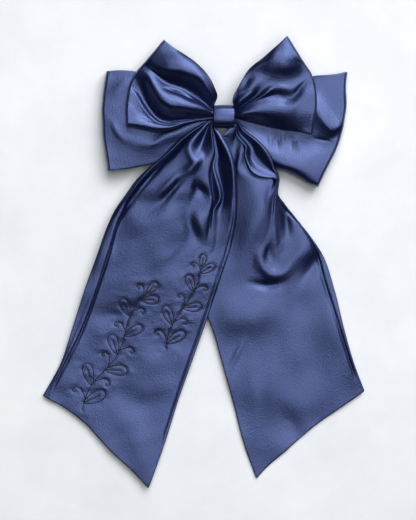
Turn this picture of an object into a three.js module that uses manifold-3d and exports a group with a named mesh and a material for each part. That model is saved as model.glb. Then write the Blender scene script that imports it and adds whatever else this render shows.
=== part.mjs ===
// A satin hair bow with two long tails, sewn round a French barrette.
// Millimetres, +X to the bow's right, +Y to its top, +Z out of its front face.
// The bow lies on its back: the barrette's clasp arm rests on z = 0, and the
// origin is the middle of that arm's flat outer face, under the knot.
import * as THREE from 'three';
import { mergeVertices } from 'three/addons/utils/BufferGeometryUtils.js';
import Module from 'manifold-3d';

const wasm = await Module();
wasm.setup();

// ---------------------------------------------------------------- dimensions
const GAP = 0.3;                 // left between pieces that touch in the real bow
const CLOTH = 1.2;               // doubled satin, pressed

// French barrette
const BAR_HALF = 40;             // half of the 80 mm top bar
const BAR_WIDTH = 8;
const BAR_THICK = 0.8;
const BAR_MID_Z = 9.5;           // underside of the bar at its middle
const BAR_SAG = 5;               // how far the ends drop below the middle
const EAR_THICK = 0.6;
const BAR_EAR_Y = 3.4;           // inner face of the bar's ears
const ARM_EAR_Y = 2.4;           // inner face of the clasp arm's ears
const PIN = { x: -38, z: 3, radius: 0.7, half: 4.4 };
const EYE_RADIUS = PIN.radius + GAP;
const ARM = { thick: 0.8, halfWidth: 3, left: -37.4, stepStart: 31.5, stepEnd: 33.6, lift: 1.3, right: 41.4 };
const WINDOW = { left: 35, right: 39.8, halfWidth: 2.65, frameHalfWidth: 4.3 };
const STRIP = { thick: 0.4, halfWidth: 2, left: -37, right: 31, endZ: 3.7, midZ: 5.9 };
const CATCH = { left: 35.2, right: 39.4, halfWidth: 2.4, z: 3.85, thick: 0.45 };
const PRONG = { left: 35.7, right: 39.1, top: 3.55, inner: 1.7, thick: 0.5, tab: 5.4, foot: 0.4 };
const RIVET_X = 37.3;
const SEW_HOLE = { x: 33, radius: 0.8 };

// knot: a strip wrapped round the three gathered waists and the bar
const KNOT = { y: -0.9, z: 15.15, halfY: 9.2, halfZ: 7.45, frontHalfWidth: 8, backHalfWidth: 5.6, squareness: 4 };
const WAIST_END = 8;
const WAISTS = {
  back: { y: -0.9, z: 12.1, halfY: 5.8, halfZ: 1.4 },
  tail: { y: -4.3, z: 15.15, halfY: 3.1, halfZ: 1.35 },
  front: { y: 1.2, z: 18.6, halfY: 4.2, halfZ: 1.8 },
};
const WAIST_GROOVE = 0.9;        // how deep the gathering thread pulls the waist in
const GROOVE_HALF = 1.9;
const THREAD_RADIUS = 0.25;

// where the soft pieces leave the knot
const TAIL_PIVOT = { x: 9, y: -4 };

// satin colours
const NAVY = 0x4a5a90;
const NAVY_DARK = 0x3c4a7c;
const THREAD_COLOUR = 0x141a38;
const STEEL = 0xb9bcc2;

// ------------------------------------------------------------------ materials
const satin = (colour) => new THREE.MeshStandardMaterial({ color: colour, roughness: 0.42, metalness: 0 });
const thread = () => new THREE.MeshStandardMaterial({ color: THREAD_COLOUR, roughness: 0.6, metalness: 0 });
const steel = (roughness = 0.32) => new THREE.MeshStandardMaterial({ color: STEEL, roughness, metalness: 1 });

const bow = new THREE.Group();

function add(name, geometry, material) {
  geometry.computeVertexNormals();
  const mesh = new THREE.Mesh(geometry, material);
  mesh.name = name;
  bow.add(mesh);
  return mesh;
}

// ------------------------------------------------------------- solid geometry
function toSolid(geometry) {
  const bare = geometry.clone();
  bare.deleteAttribute('normal');
  bare.deleteAttribute('uv');
  const merged = mergeVertices(bare, 1e-4);
  return new wasm.Manifold(new wasm.Mesh({
    numProp: 3,
    vertProperties: new Float32Array(merged.attributes.position.array),
    triVerts: new Uint32Array(merged.index.array),
  }));
}

function fromSolid(solid) {
  const mesh = solid.getMesh();
  const geometry = new THREE.BufferGeometry();
  geometry.setAttribute('position', new THREE.BufferAttribute(new Float32Array(mesh.vertProperties), 3));
  geometry.setIndex(new THREE.BufferAttribute(new Uint32Array(mesh.triVerts), 1));
  return geometry;
}

// A closed solid through rings of equal length. Without capping, the last ring joins the first.
function loft(rings, capped = true) {
  const size = rings[0].length;
  const positions = rings.flat().flatMap((p) => [p.x, p.y, p.z]);
  const index = [];
  const spans = capped ? rings.length - 1 : rings.length;
  for (let i = 0; i < spans; i += 1) {
    const next = (i + 1) % rings.length;
    for (let j = 0; j < size; j += 1) {
      const k = (j + 1) % size;
      const [a, b, c, d] = [i * size + j, i * size + k, next * size + k, next * size + j];
      index.push(a, b, c, a, c, d);
    }
  }
  if (capped) {
    const last = (rings.length - 1) * size;
    for (let j = 1; j < size - 1; j += 1) {
      index.push(0, j + 1, j);
      index.push(last, last + j, last + j + 1);
    }
  }
  return facingOut(positions, index);
}

// Reverses every triangle of a closed mesh whose faces point inwards.
function facingOut(positions, index) {
  const geometry = new THREE.BufferGeometry();
  geometry.setAttribute('position', new THREE.Float32BufferAttribute(positions, 3));
  const [a, b, c] = [new THREE.Vector3(), new THREE.Vector3(), new THREE.Vector3()];
  let volume = 0;
  for (let i = 0; i < index.length; i += 3) {
    a.fromArray(positions, index[i] * 3);
    b.fromArray(positions, index[i + 1] * 3);
    c.fromArray(positions, index[i + 2] * 3);
    volume += a.dot(b.cross(c));
  }
  geometry.setIndex(volume > 0 ? index : index.reverse());
  return geometry;
}

// A cloth sheet of even thickness about a grid of mid-surface points.
function sheet(grid, thickness = CLOTH) {
  const rows = grid.length;
  const cols = grid[0].length;
  const normalAt = (i, j) => {
    const along = grid[Math.min(i + 1, rows - 1)][j].clone().sub(grid[Math.max(i - 1, 0)][j]);
    const across = grid[i][Math.min(j + 1, cols - 1)].clone().sub(grid[i][Math.max(j - 1, 0)]);
    return along.cross(across).normalize();
  };
  const ring = (i) => {
    const face = [];
    const back = [];
    for (let j = 0; j < cols; j += 1) {
      const offset = normalAt(i, j).multiplyScalar(thickness / 2);
      face.push(grid[i][j].clone().add(offset));
      back.unshift(grid[i][j].clone().sub(offset));
    }
    return [...face, ...back];
  };
  const rings = grid.map((_, i) => ring(i));
  const size = 2 * cols;
  const positions = rings.flat().flatMap((p) => [p.x, p.y, p.z]);
  const index = [];
  for (let i = 0; i < rows - 1; i += 1) {
    for (let j = 0; j < size; j += 1) {
      const k = (j + 1) % size;
      const [a, b, c, d] = [i * size + j, i * size + k, (i + 1) * size + k, (i + 1) * size + j];
      index.push(a, b, c, a, c, d);
    }
  }
  const cap = (first, flip) => {
    for (let j = 0; j < cols - 1; j += 1) {
      const [a, b, c, d] = [first + j, first + j + 1, first + size - 2 - j, first + size - 1 - j];
      index.push(...(flip ? [a, c, b, a, d, c] : [a, b, c, a, c, d]));
    }
  };
  cap(0, true);
  cap((rows - 1) * size, false);
  return facingOut(positions, index);
}

// Lays an outline drawn in (x, z) on its side and extrudes it along Y between two planes.
function alongY(shape, yFrom, yTo, curveSegments = 12) {
  const geometry = new THREE.ExtrudeGeometry(shape, { depth: yTo - yFrom, bevelEnabled: false, curveSegments });
  geometry.rotateX(Math.PI / 2);
  geometry.translate(0, yTo, 0);
  return geometry;
}

function disc(x, z, radius, yFrom, yTo) {
  const shape = new THREE.Shape();
  shape.absarc(x, z, radius, 0, 2 * Math.PI);
  return toSolid(alongY(shape, yFrom, yTo, 10));
}

function box(xFrom, xTo, yFrom, yTo, zFrom, zTo) {
  const geometry = new THREE.BoxGeometry(xTo - xFrom, yTo - yFrom, zTo - zFrom);
  geometry.translate((xFrom + xTo) / 2, (yFrom + yTo) / 2, (zFrom + zTo) / 2);
  return toSolid(geometry);
}

function upright(x, radius, zFrom, zTo, segments = 16) {
  const geometry = new THREE.CylinderGeometry(radius, radius, zTo - zFrom, segments);
  geometry.rotateX(Math.PI / 2);
  geometry.translate(x, 0, (zFrom + zTo) / 2);
  return toSolid(geometry);
}

// Thread of round section through a list of points.
function cord(points, radius, steps) {
  const section = new THREE.Shape();
  section.absarc(0, 0, radius, 0, 2 * Math.PI);
  const extrudePath = new THREE.CatmullRomCurve3(points);
  return new THREE.ExtrudeGeometry(section, { extrudePath, steps, curveSegments: 3 });
}

// A band of even thickness in the XZ plane that follows a height function.
function bandShape(xFrom, xTo, height, thickness, steps) {
  const xs = Array.from({ length: steps + 1 }, (_, i) => xFrom + ((xTo - xFrom) * i) / steps);
  const lower = xs.map((x) => new THREE.Vector2(x, height(x)));
  const upper = xs.map((x) => new THREE.Vector2(x, height(x) + thickness)).reverse();
  return new THREE.Shape([...lower, ...upper]);
}

// ------------------------------------------------------------------- barrette
const barUnderside = (x) => BAR_MID_Z - BAR_SAG * (x / BAR_HALF) ** 2;

function topBar() {
  const half = BAR_WIDTH / 2;
  let bar = toSolid(alongY(bandShape(-BAR_HALF, BAR_HALF, barUnderside, BAR_THICK, 20), -half, half));
  for (const side of [-1, 1]) {
    const [y0, y1] = side < 0 ? [-BAR_EAR_Y - EAR_THICK, -BAR_EAR_Y] : [BAR_EAR_Y, BAR_EAR_Y + EAR_THICK];
    const web = box(PIN.x - 1.5, PIN.x + 1.5, y0, y1, PIN.z, barUnderside(PIN.x) + 0.3);
    bar = bar.add(web).add(disc(PIN.x, PIN.z, 1.5, y0, y1));
    bar = bar.subtract(upright(side * SEW_HOLE.x, SEW_HOLE.radius, 0, 12));
  }
  bar = bar.subtract(disc(PIN.x, PIN.z, EYE_RADIUS, -half - 1, half + 1));
  bar = bar.subtract(upright(RIVET_X, 0.9 + GAP, 0, 12));
  return fromSolid(bar);
}

function claspArm() {
  const a = ARM;
  const side = new THREE.Shape();
  side.moveTo(a.left, 0);
  side.lineTo(a.stepStart, 0);
  side.lineTo(a.stepEnd, a.lift);
  side.lineTo(a.right, a.lift);
  side.lineTo(a.right, a.lift + a.thick);
  side.lineTo(a.stepEnd - 0.4, a.lift + a.thick);
  side.lineTo(a.stepStart - 0.4, a.thick);
  side.lineTo(a.left, a.thick);
  const plan = new THREE.Shape();
  plan.moveTo(a.left, -a.halfWidth);
  plan.lineTo(a.stepStart, -a.halfWidth);
  plan.lineTo(a.stepEnd, -WINDOW.frameHalfWidth);
  plan.lineTo(a.right - 2, -WINDOW.frameHalfWidth);
  plan.quadraticCurveTo(a.right, -WINDOW.frameHalfWidth, a.right, -WINDOW.frameHalfWidth + 2);
  plan.lineTo(a.right, WINDOW.frameHalfWidth - 2);
  plan.quadraticCurveTo(a.right, WINDOW.frameHalfWidth, a.right - 2, WINDOW.frameHalfWidth);
  plan.lineTo(a.stepEnd, WINDOW.frameHalfWidth);
  plan.lineTo(a.stepStart, a.halfWidth);
  plan.lineTo(a.left, a.halfWidth);
  const planGeometry = new THREE.ExtrudeGeometry(plan, { depth: 6, bevelEnabled: false, curveSegments: 4 });
  planGeometry.translate(0, 0, -1);
  let arm = toSolid(alongY(side, -6, 6)).intersect(toSolid(planGeometry));
  arm = arm.subtract(box(WINDOW.left, WINDOW.right, -WINDOW.halfWidth, WINDOW.halfWidth, 0, 5));
  for (const sign of [-1, 1]) {
    const [y0, y1] = sign < 0 ? [-ARM_EAR_Y - EAR_THICK, -ARM_EAR_Y] : [ARM_EAR_Y, ARM_EAR_Y + EAR_THICK];
    const web = box(PIN.x - 1, PIN.x + 1.5, y0, y1, 0.1, PIN.z);
    arm = arm.add(web).add(disc(PIN.x, PIN.z, 1.5, y0, y1));
  }
  return fromSolid(arm.subtract(disc(PIN.x, PIN.z, EYE_RADIUS, -5, 5)));
}

// A springy strip that presses the hair against the arm. Its rolled eye turns on the hinge pin.
function tensionBar() {
  const middle = (STRIP.left + STRIP.right) / 2;
  const half = (STRIP.right - STRIP.left) / 2;
  const height = (x) => STRIP.midZ - (STRIP.midZ - STRIP.endZ) * ((x - middle) / half) ** 2;
  const strip = alongY(bandShape(STRIP.left, STRIP.right, height, STRIP.thick, 16), -STRIP.halfWidth, STRIP.halfWidth);
  const eye = disc(PIN.x, PIN.z, EYE_RADIUS + 0.45, -STRIP.halfWidth, STRIP.halfWidth);
  return fromSolid(toSolid(strip).add(eye).subtract(disc(PIN.x, PIN.z, EYE_RADIUS, -5, 5)));
}

function hingePin() {
  const pin = new THREE.CylinderGeometry(PIN.radius, PIN.radius, 2 * PIN.half, 16);
  pin.translate(PIN.x, 0, PIN.z);
  return pin;
}

function catchBase() {
  const plate = box(CATCH.left, CATCH.right, -CATCH.halfWidth, CATCH.halfWidth, CATCH.z, CATCH.z + CATCH.thick);
  return fromSolid(plate.subtract(upright(RIVET_X, 0.9 + GAP, 0, 12)));
}

function catchRivet() {
  const headRadius = 1.6;
  const head = barUnderside(RIVET_X - headRadius) + BAR_THICK + GAP;
  const profile = [
    [0, 3.05], [1.1, 3.05], [1.3, 3.25], [1.3, 3.55], [0.9, 3.55],
    [0.9, head], [headRadius, head], [headRadius - 0.1, head + 0.4], [0, head + 0.5],
  ];
  const rivet = new THREE.LatheGeometry(profile.map(([r, z]) => new THREE.Vector2(r, z)), 16);
  rivet.rotateX(Math.PI / 2);
  rivet.translate(RIVET_X, 0, 0);
  return rivet;
}

// One spring leg of the catch, with the tab that a finger squeezes.
function catchProng(sign) {
  const p = PRONG;
  const outer = p.inner + p.thick;
  const points = [
    [p.inner, p.top], [outer, p.top], [outer, 3.2], [p.tab, 3.2], [p.tab, 2.7], [outer, 2.7],
    [outer, 1.2], [outer + 0.15, 1], [outer + 0.15, 0.8], [outer - 0.2, p.foot], [p.inner, p.foot],
  ];
  const outline = points.map(([y, z]) => new THREE.Vector2(sign * y, z));
  const prong = new THREE.ExtrudeGeometry(new THREE.Shape(outline), { depth: p.right - p.left, bevelEnabled: false });
  prong.rotateX(Math.PI / 2);
  prong.rotateZ(Math.PI / 2);
  prong.translate(p.left, 0, 0);
  return prong;
}

add('barrette_top_bar', topBar(), steel());
add('barrette_clasp_arm', claspArm(), steel());
add('barrette_tension_bar', tensionBar(), steel(0.25));
add('barrette_hinge_pin', hingePin(), steel(0.25));
add('barrette_catch_base', catchBase(), steel());
add('barrette_catch_rivet', catchRivet(), steel(0.25));
add('barrette_catch_prong_upper', catchProng(1), steel());
add('barrette_catch_prong_lower', catchProng(-1), steel());

// ------------------------------------------------------- knot, waists, threads
// A point on a rounded-square ring: angle 0 is the front, 90 degrees the bow's bottom.
function ringPoint(angle, halfY, halfZ, squareness) {
  const power = 2 / squareness;
  const [c, s] = [Math.cos(angle), Math.sin(angle)];
  const y = -Math.sign(s) * halfY * Math.abs(s) ** power;
  const z = Math.sign(c) * halfZ * Math.abs(c) ** power;
  return [y, z];
}

function knotWrap() {
  const steps = 36;
  const rings = [];
  for (let i = 0; i < steps; i += 1) {
    const angle = (2 * Math.PI * i) / steps;
    const [yOut, zOut] = ringPoint(angle, KNOT.halfY, KNOT.halfZ, KNOT.squareness);
    const [yIn, zIn] = ringPoint(angle, KNOT.halfY - CLOTH, KNOT.halfZ - CLOTH, KNOT.squareness);
    const share = (1 + Math.cos(angle)) / 2;
    const pinch = Math.max(0, Math.sin(angle)) * 0.8;
    const half = KNOT.backHalfWidth + (KNOT.frontHalfWidth - KNOT.backHalfWidth) * share - pinch;
    rings.push([
      new THREE.Vector3(-half, KNOT.y + yOut, KNOT.z + zOut),
      new THREE.Vector3(half, KNOT.y + yOut, KNOT.z + zOut),
      new THREE.Vector3(half, KNOT.y + yIn, KNOT.z + zIn),
      new THREE.Vector3(-half, KNOT.y + yIn, KNOT.z + zIn),
    ]);
  }
  return loft(rings, false);
}

// The pleats of one strip, bundled under the knot and pulled in by its thread.
function gatheredWaist({ y, z, halfY, halfZ }) {
  const stations = [
    [-WAIST_END, 0], [-GROOVE_HALF - 0.6, 0], [-GROOVE_HALF, WAIST_GROOVE],
    [GROOVE_HALF, WAIST_GROOVE], [GROOVE_HALF + 0.6, 0], [WAIST_END, 0],
  ];
  return loft(stations.map(([x, inset]) => Array.from({ length: 16 }, (_, i) => {
    const angle = (2 * Math.PI * i) / 16;
    const [dy, dz] = ringPoint(angle, halfY - inset, halfZ - inset, 3);
    return new THREE.Vector3(x, y + dy, z + dz);
  })));
}

// Three turns of thread in the groove of a gathered waist.
function gatheringThread({ y, z, halfY, halfZ }) {
  const turns = 3;
  const perTurn = 18;
  const sides = 5;
  const reach = WAIST_GROOVE - GAP - THREAD_RADIUS;
  const rings = [];
  for (let i = 0; i <= turns * perTurn; i += 1) {
    const angle = (2 * Math.PI * i) / perTurn;
    const x = -1.1 + (2.2 * i) / (turns * perTurn);
    const [dy, dz] = ringPoint(angle, halfY - reach, halfZ - reach, 3);
    const out = new THREE.Vector2(dy / halfY, dz / halfZ).normalize();
    rings.push(Array.from({ length: sides }, (_, k) => {
      const turn = (2 * Math.PI * k) / sides;
      const lift = THREAD_RADIUS * Math.cos(turn);
      return new THREE.Vector3(x + THREAD_RADIUS * Math.sin(turn), y + dy + out.x * lift, z + dz + out.y * lift);
    }));
  }
  return loft(rings);
}

// Whip stitches that close the wrap behind the bar.
function closingStitches() {
  const z = KNOT.z - KNOT.halfZ - GAP - 0.2;
  const points = [];
  for (let i = 0; i <= 10; i += 1) {
    points.push(new THREE.Vector3(-4.5 + 0.9 * i, KNOT.y + (i % 2 ? 1.1 : -1.1), z));
  }
  return cord(points, 0.2, 30);
}

add('knot_wrap', knotWrap(), satin(NAVY));
add('knot_closing_stitches', closingStitches(), thread());
for (const [name, waist] of Object.entries(WAISTS)) {
  const piece = name === 'tail' ? 'tail' : `${name}_bow`;
  add(`${piece}_waist`, gatheredWaist(waist), satin(NAVY_DARK));
  add(`${piece}_gathering_thread`, gatheringThread(waist), thread());
}

// ---------------------------------------------------------------- cloth shapes
const smooth = (from, to, value) => THREE.MathUtils.smoothstep(value, from, to);
const spline = (points) => new THREE.CatmullRomCurve3(points.map(([x, y]) => new THREE.Vector3(x, y, 0)));

// A Coons patch between four edges: s runs out from the knot, t from the first edge to the second.
function patch({ first, second, end }) {
  const [a, b, e] = [spline(first), spline(second), spline(end)];
  const [a0, b0] = [a.getPointAt(0), b.getPointAt(0)];
  return (s, t) => {
    const sides = a.getPointAt(s).multiplyScalar(1 - t).add(b.getPointAt(s).multiplyScalar(t));
    const ends = a0.clone().lerp(b0, t).multiplyScalar(1 - s).add(e.getPointAt(t).multiplyScalar(s));
    const corners = a0.clone().lerp(b0, t).multiplyScalar(1 - s);
    corners.add(a.getPointAt(1).lerp(b.getPointAt(1), t).multiplyScalar(s));
    return sides.add(ends).sub(corners);
  };
}

// A loop of the bow: front panel, round outer fold, back panel, open at its top and bottom edges.
// The fold's round stays inside the outline.
function loop({ outline, frontHeight, backHeight }) {
  const at = patch(outline);
  const panelSteps = 9;
  const foldSteps = 5;
  const acrossSteps = 6;
  const columns = [];
  for (let j = 0; j <= acrossSteps; j += 1) {
    const t = j / acrossSteps;
    const radius = (frontHeight(1, t) - backHeight(1, t)) / 2;
    const middle = (frontHeight(1, t) + backHeight(1, t)) / 2;
    const outward = at(1, t).sub(at(0.9, t)).normalize();
    const reach = at(1, t).distanceTo(at(0, t));
    const inset = 1 - (radius + CLOTH / 2) / reach;
    const column = [];
    for (let i = 0; i <= panelSteps; i += 1) {
      const s = (i / panelSteps) * inset;
      const p = at(s, t);
      column.push(new THREE.Vector3(p.x, p.y, frontHeight(i / panelSteps, t, p)));
    }
    const centre = at(inset, t);
    for (let i = 1; i < foldSteps; i += 1) {
      const angle = (Math.PI * i) / foldSteps;
      const p = centre.clone().addScaledVector(outward, radius * Math.sin(angle));
      column.push(new THREE.Vector3(p.x, p.y, middle + radius * Math.cos(angle)));
    }
    for (let i = panelSteps; i >= 0; i -= 1) {
      const s = (i / panelSteps) * inset;
      const p = at(s, t);
      column.push(new THREE.Vector3(p.x, p.y, backHeight(i / panelSteps, t, p)));
    }
    columns.push(column);
  }
  return columns;
}

// Front loops: puffed out above the back loops.
const frontLoop = {
  frontHeight: (s, t) => 19.6 + 17 * smooth(0.02, 0.55, s) * (0.7 + 0.3 * Math.sin(Math.PI * t)) - 9 * smooth(0.6, 1, s),
  backHeight: (s) => 17.7 - 2.6 * smooth(0.1, 0.5, s),
};
// Back loops: flat over the bar, then open down to the surface.
const backLoop = {
  frontHeight: (s) => 12.8 - 4.8 * smooth(0.6, 1, s),
  backHeight: (s, t, p) => 11.25 - 9.7 * (p ? smooth(42, 60, Math.abs(p.x)) : 1),
};

const FRONT_LEFT = {
  first: [[-9.2, -2], [-20, -3], [-30, -5], [-42, -9], [-64, -8.4], [-78, -6.4]],
  second: [[-9.2, 6.4], [-8.9, 9.2], [-6.2, 13.4], [-7.4, 22], [-13, 33], [-21, 41], [-33, 50], [-48.2, 60.6]],
  end: [[-78, -6.4], [-78.2, 4], [-75.6, 22], [-69, 34], [-48.2, 60.6]],
};
const FRONT_RIGHT = {
  first: [[9.2, -2], [24, -6], [40, -9.5], [56, -12], [70.3, -14.6]],
  second: [[9.2, 6.4], [8.6, 9.2], [7.6, 14], [12.5, 24], [20.5, 37.5], [32, 47], [50.8, 63.4]],
  end: [[70.3, -14.6], [74.5, 10], [70.5, 31.5], [62, 45], [50.8, 63.4]],
};
const BACK_LEFT = {
  first: [[-9.2, -6], [-25, -20], [-45, -34], [-64, -39.5], [-92.6, -43.4]],
  second: [[-9.2, 4.4], [-30, 18], [-55, 31], [-75, 36], [-93.8, 35.6]],
  end: [[-92.6, -43.4], [-97.4, -12], [-97, 12], [-93.8, 35.6]],
};
const BACK_RIGHT = {
  first: [[9.2, -6], [22, -22], [42, -41.5], [60, -49.5], [74.6, -56]],
  second: [[9.2, 4.4], [30, 16], [55, 27], [75, 32], [98.2, 34.6]],
  end: [[74.6, -56], [87, -32], [95, -9], [97.8, 10], [98.2, 34.6]],
};

add('front_left_loop', sheet(loop({ outline: FRONT_LEFT, ...frontLoop })), satin(NAVY));
add('front_right_loop', sheet(loop({ outline: FRONT_RIGHT, ...frontLoop })), satin(NAVY));
add('back_left_loop', sheet(loop({ outline: BACK_LEFT, ...backLoop })), satin(NAVY_DARK));
add('back_right_loop', sheet(loop({ outline: BACK_RIGHT, ...backLoop })), satin(NAVY_DARK));

// ----------------------------------------------------------------------- tails
// Each tail leaves the knot above the back loop, then comes down to the surface.
// Heights depend on the distance from the tail's pivot, so a tail can swing about it.
const FLOOR_Z = 0.3 + CLOTH / 2;
const LEFT_TAIL = {
  outline: {
    first: [[-9.4, -6], [-6.6, -11.6], [-0.5, -18], [8, -38], [9.8, -68], [5, -104], [-14, -162],
      [-37, -227], [-60.5, -296.8]],
    second: [[-9.4, -3], [-20, -8.5], [-34, -18.5], [-59, -41], [-79, -64], [-101, -112], [-120, -168],
      [-144.2, -223.4]],
    end: [[-60.5, -296.8], [-90, -267.5], [-112, -244.5], [-144.2, -223.4]],
  },
  pivotX: -TAIL_PIVOT.x,
  height: (r, t) => {
    const resting = FLOOR_Z + 1.9 * (1 - smooth(0.3, 0.75, t));
    return 15.2 + 2 * smooth(2, 12, r) + (resting - 17.2) * smooth(72, 118, r);
  },
};
const RIGHT_TAIL = {
  outline: {
    first: [[9.4, -6], [6.8, -11.4], [0, -18], [-10, -40], [-17, -100], [-13, -160], [-2, -195],
      [26.2, -289.2]],
    second: [[9.4, -3], [18, -11], [32, -24], [43, -48], [58, -82], [79, -113], [96, -172], [111.7, -219.6]],
    end: [[26.2, -289.2], [44, -272], [78, -244], [111.7, -219.6]],
  },
  pivotX: TAIL_PIVOT.x,
  height: (r) => 15.2 - 0.6 * smooth(2, 12, r) + (FLOOR_Z - 14.6) * smooth(60, 106, r),
};

function tail({ outline, pivotX, height }) {
  const at = patch(outline);
  const alongSteps = 22;
  const acrossSteps = 6;
  return sheet(Array.from({ length: alongSteps + 1 }, (_, i) => (
    Array.from({ length: acrossSteps + 1 }, (__, j) => {
      const p = at((i / alongSteps) ** 1.35, j / acrossSteps);
      const r = Math.hypot(p.x - pivotX, p.y - TAIL_PIVOT.y);
      return new THREE.Vector3(p.x, p.y, height(r, j / acrossSteps));
    })
  )));
}

add('left_tail', tail(LEFT_TAIL), satin(NAVY));
add('right_tail', tail(RIGHT_TAIL), satin(NAVY_DARK));

// ------------------------------------------------------------------ embroidery
// Two thread vines on the left tail, each one continuous line.
const VINES = {
  embroidery_long_vine: [[-112, -236], [-98, -228], [-104, -208], [-88, -206], [-92, -186], [-76, -186],
    [-80, -166], [-66, -166], [-70, -148], [-58, -134]],
  embroidery_short_vine: [[-46, -186], [-36, -176], [-46, -164], [-34, -158], [-40, -144], [-26, -140],
    [-30, -126], [-16, -114]],
};
const VINE_RADIUS = 0.6;

// The thread clears the tail's highest line at each distance from the pivot, its inner edge.
function vine(points) {
  return cord(points.map(([x, y]) => {
    const r = Math.hypot(x + TAIL_PIVOT.x, y - TAIL_PIVOT.y);
    const rise = 1.2 * (1 - smooth(112, 145, r));
    return new THREE.Vector3(x, y, LEFT_TAIL.height(r, 0) + CLOTH / 2 + GAP + VINE_RADIUS + rise);
  }), VINE_RADIUS, 44);
}

for (const [name, points] of Object.entries(VINES)) {
  add(name, vine(points), thread());
}

export default bow;
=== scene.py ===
import math

import bpy
import numpy as np
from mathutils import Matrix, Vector
from mathutils.bvhtree import BVHTree


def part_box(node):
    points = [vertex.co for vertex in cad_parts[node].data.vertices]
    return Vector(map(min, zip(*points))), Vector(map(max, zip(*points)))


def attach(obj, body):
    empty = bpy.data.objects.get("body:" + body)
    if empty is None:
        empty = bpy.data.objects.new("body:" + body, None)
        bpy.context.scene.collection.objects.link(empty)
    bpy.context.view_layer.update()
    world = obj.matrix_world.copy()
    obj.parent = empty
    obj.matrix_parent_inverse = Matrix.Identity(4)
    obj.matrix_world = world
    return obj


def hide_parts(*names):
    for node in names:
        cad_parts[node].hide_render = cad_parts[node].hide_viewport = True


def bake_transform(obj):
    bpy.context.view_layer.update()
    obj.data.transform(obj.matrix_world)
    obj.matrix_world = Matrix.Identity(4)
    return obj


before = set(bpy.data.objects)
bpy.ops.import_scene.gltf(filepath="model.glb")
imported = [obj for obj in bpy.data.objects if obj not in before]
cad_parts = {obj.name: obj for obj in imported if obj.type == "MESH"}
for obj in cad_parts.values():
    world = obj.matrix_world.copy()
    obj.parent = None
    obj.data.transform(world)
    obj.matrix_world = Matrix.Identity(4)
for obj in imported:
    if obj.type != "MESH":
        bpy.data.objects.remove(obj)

MM = 0.001

# ---- sizes in mm, and counts ----
ROWS_PER_FOLD = 8  # rows of cloth from one fold line to the next
LOOP_COLUMNS = 130  # of a loop's front panel, and of its back panel
TAIL_COLUMNS = 300
RIM_STEPS = 3
CURVE_POINTS = 24  # along a crease
CUT_END_POINTS = 41
RIPPLE_WAVES = 14
LOOP_RIPPLE = (0.13, 10, 34)  # height, shortest wave and longest wave
TAIL_RIPPLE = (0.24, 14, 60)
PUCKER_RIPPLE = (0.12, 6, 16)
LOOP_HALF = (0.18, 0.27, 6, 26)  # half thickness at the knot, what it gains, and from where to where
TAIL_HALF = (0.2, 0.3, 8, 34)
KNOT_HALF = 0.5
FLOOR_CLEARANCE = 0.8  # of a tail's middle surface
LOOP_START_X = 5.0  # where the cloth starts, inside the knot
TAIL_START = (5.5, -4.2, 15)
KNOT_BACK_HALF_WIDTH = 5.4
KNOT_FRONT_HALF_WIDTH = 8.0
PUCKER_DEPTH = 0.4
STITCH_STEP = 0.45
THREAD_RADIUS = 0.4
THREAD_LIFT = 0.5  # of a thread's middle above the cloth's middle

scene = bpy.context.scene


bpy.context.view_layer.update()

# ---- camera: straight above, the knot above the middle of the picture ----
CAMERA_HEIGHT = 1.5
PICTURE_WIDTH = 0.416  # what the picture shows of the plane at SCALE_HEIGHT
SCALE_HEIGHT = 0.01
camera_data = bpy.data.cameras.new("camera")
camera = bpy.data.objects.new("camera", camera_data)
scene.collection.objects.link(camera)
camera.location = (-0.0128, -0.1152, CAMERA_HEIGHT)
camera_data.sensor_width = 36
camera_data.lens = 36 * (CAMERA_HEIGHT - SCALE_HEIGHT) / PICTURE_WIDTH
camera_data.clip_start = 0.05
camera_data.clip_end = 20
scene.camera = camera


# ---- smooth curves and surfaces; everything below is in mm until it becomes a mesh ----
def unit(vectors):
    return vectors / np.maximum(np.linalg.norm(vectors, axis=-1, keepdims=True), 1e-9)


def run(steps):
    """Distances along a path from the lengths of its steps."""
    return np.concatenate([[0], np.cumsum(steps)])


def smooth(a, b, x):
    """0 below a, 1 above b, and an even S-curve between them."""
    t = np.clip((np.asarray(x, float) - a) / (b - a), 0, 1)
    return t * t * (3 - 2 * t)


def hermite(ts, ps, slopes, t):
    """The cubic through ps at ts with these slopes, at each t."""
    i = np.clip(np.searchsorted(ts, t, side="right") - 1, 0, len(ts) - 2)
    h = ts[i + 1] - ts[i]
    s = (t - ts[i]) / h
    shape = (-1,) + (1,) * (ps.ndim - 1)
    s, h = s.reshape(shape), h.reshape(shape)
    return (
        (1 + 2 * s) * (1 - s) ** 2 * ps[i]
        + s * (1 - s) ** 2 * h * slopes[i]
        + s * s * (3 - 2 * s) * ps[i + 1]
        + s * s * (s - 1) * h * slopes[i + 1]
    )


def chords(ts, ps):
    """The length in t and the slope of each chord."""
    h = np.diff(ts).reshape((-1,) + (1,) * (ps.ndim - 1))
    return h, np.diff(ps, axis=0) / h


def chord_slopes(ts, ps):
    """Slopes of a curve that runs evenly through its points."""
    h, d = chords(ts, ps)
    m = np.empty_like(ps)
    m[1:-1] = (h[:-1] * d[1:] + h[1:] * d[:-1]) / (h[:-1] + h[1:])
    m[0] = 1.5 * d[0] - 0.5 * m[1]
    m[-1] = 1.5 * d[-1] - 0.5 * m[-2]
    return m


def level_slopes(ts, ps):
    """Slopes that are level at each crest and valley, so that none of them overshoots."""
    d = chords(ts, ps)[1]
    m = np.zeros_like(ps)
    same = d[:-1] * d[1:] > 0
    safe = np.where(same, d[:-1] + d[1:], 1)
    m[1:-1] = np.where(same, 2 * d[:-1] * d[1:] / safe, 0)
    m[0], m[-1] = d[0], d[-1]
    return m


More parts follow.
